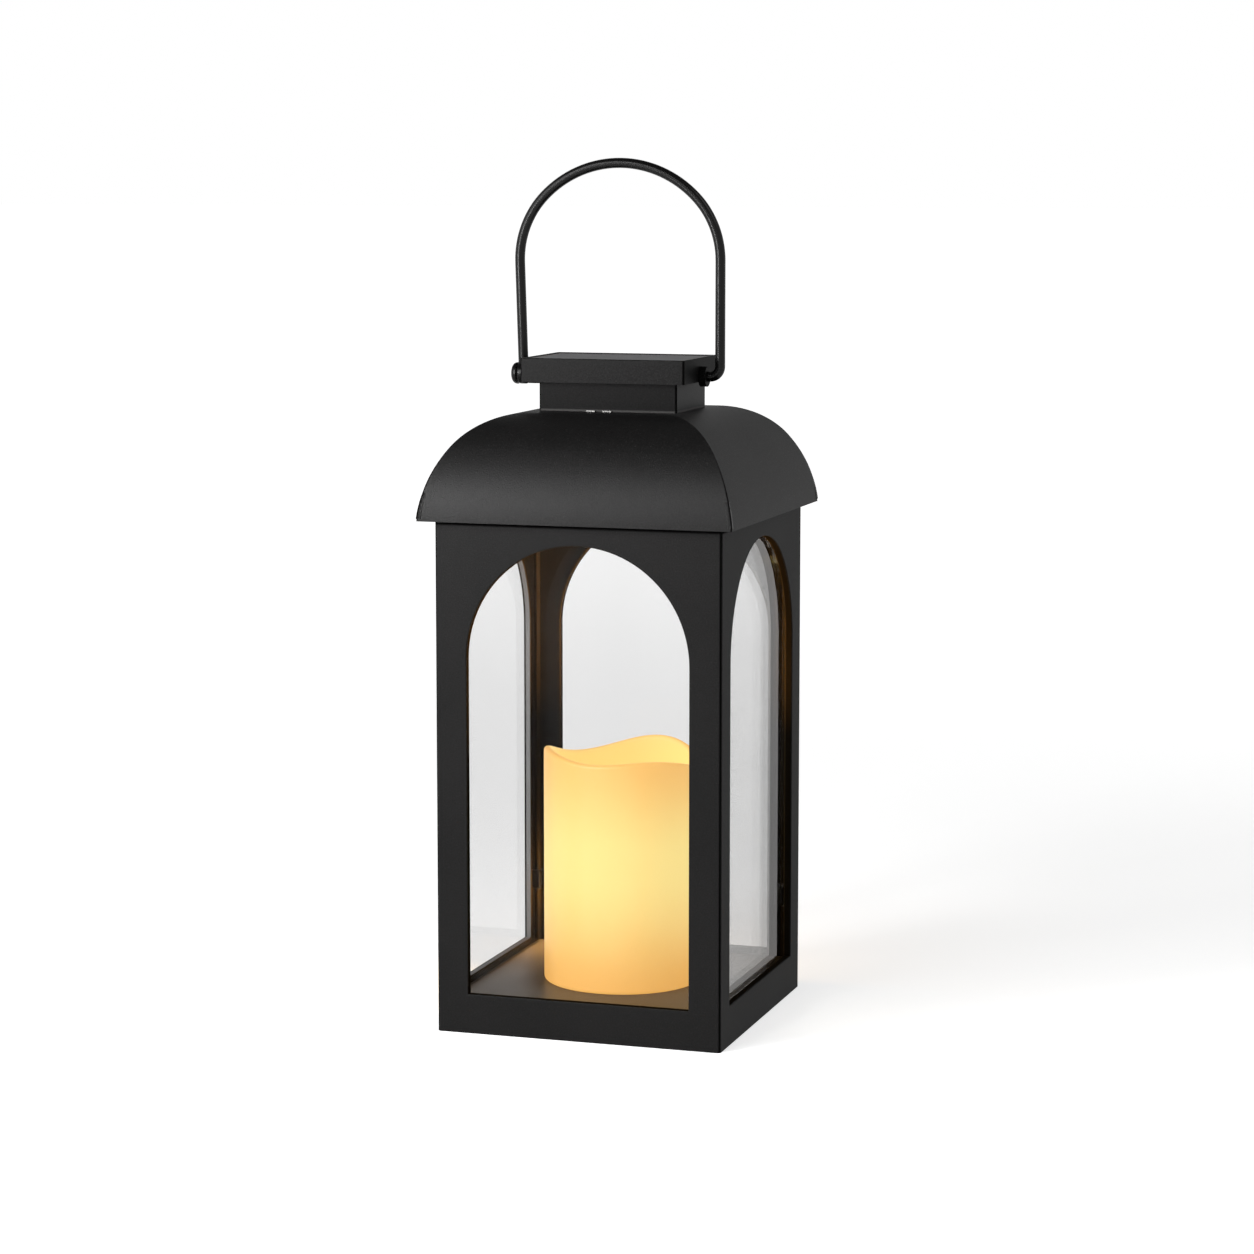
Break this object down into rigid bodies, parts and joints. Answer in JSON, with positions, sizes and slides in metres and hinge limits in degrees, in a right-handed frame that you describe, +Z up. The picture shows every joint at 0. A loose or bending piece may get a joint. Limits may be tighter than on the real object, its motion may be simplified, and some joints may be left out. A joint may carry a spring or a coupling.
{
  "type": "solar candle lantern",
  "caption": "Square black metal lantern with arched windows, a vaulted roof, a solar head, a swinging wire handle and a flameless candle inside.",
  "frame": {"origin": "middle of the footprint on the ground", "axes": "+Z up, the front faces -Y, +X to the right seen from the front"},
  "size_m": [0.1534, 0.1534, 0.4123],
  "materials": {
    "black_paint": "satin black powder coat with a fine speckle",
    "pane_glass": "clear flat glass",
    "black_moulding": "satin black moulding",
    "panel_resin": "glossy dark resin over solar cells",
    "cell_film": "glossy brown-black solar film",
    "dark_steel": "black finished steel",
    "plated_steel": "zinc plated",
    "battery_sleeve": "plain shrink sleeve",
    "board_laminate": "green laminate",
    "wax_shell": "translucent wax-look moulding, lit from inside",
    "white_moulding": "milky moulding",
    "lamp_resin": "clear warm lamp resin",
    "grommet_rubber": "matte rubber"
  },
  "bodies": {
    "lantern": {"wall_front": "black_paint", "wall_right": "black_paint", "wall_back": "black_paint", "wall_left": "black_paint", "roof_front": "black_paint", "roof_right": "black_paint", "roof_back": "black_paint", "roof_left": "black_paint", "floor_tray": "black_paint", "roof_seat_ring": "black_paint", "hip_seams": "black_paint", "neck_tabs": "black_paint", "pane_front": "pane_glass", "pane_right": "pane_glass", "pane_back": "pane_glass", "pane_left": "pane_glass", "neck_box": "black_moulding", "solar_cap": "black_moulding", "battery_cradle": "black_moulding", "switch_body": "black_moulding", "solar_panel": "panel_resin", "solar_cells": "cell_film", "handle_pin": "dark_steel", "pane_clips": "black_paint", "roof_screws": "plated_steel", "roof_nuts": "plated_steel", "head_screws": "plated_steel", "head_nuts": "plated_steel", "cap_screws": "plated_steel", "candle_screws": "plated_steel", "contact_plus": "plated_steel", "contact_minus": "plated_steel", "battery_cell": "battery_sleeve", "charge_board": "board_laminate", "lamp_board": "board_laminate", "candle_shell": "wax_shell", "candle_diffuser": "white_moulding", "candle_plug": "white_moulding", "lamp_post": "white_moulding", "lamp": "lamp_resin", "lead_grommet": "grommet_rubber"},
    "handle": {"handle": "black_paint"},
    "slider": {"switch_slider": "black_moulding"}
  },
  "joints": [
    {"name": "handle_swing", "type": "hinge", "parent": "lantern", "child": "handle", "pos_m": [0, 0, 0.3093], "axis": [1, 0, 0], "range_deg": [-106, 106]},
    {"name": "switch_slide", "type": "slide", "parent": "lantern", "child": "slider", "axis": [1, 0, 0], "range_m": [0, 0.0024]}
  ]
}
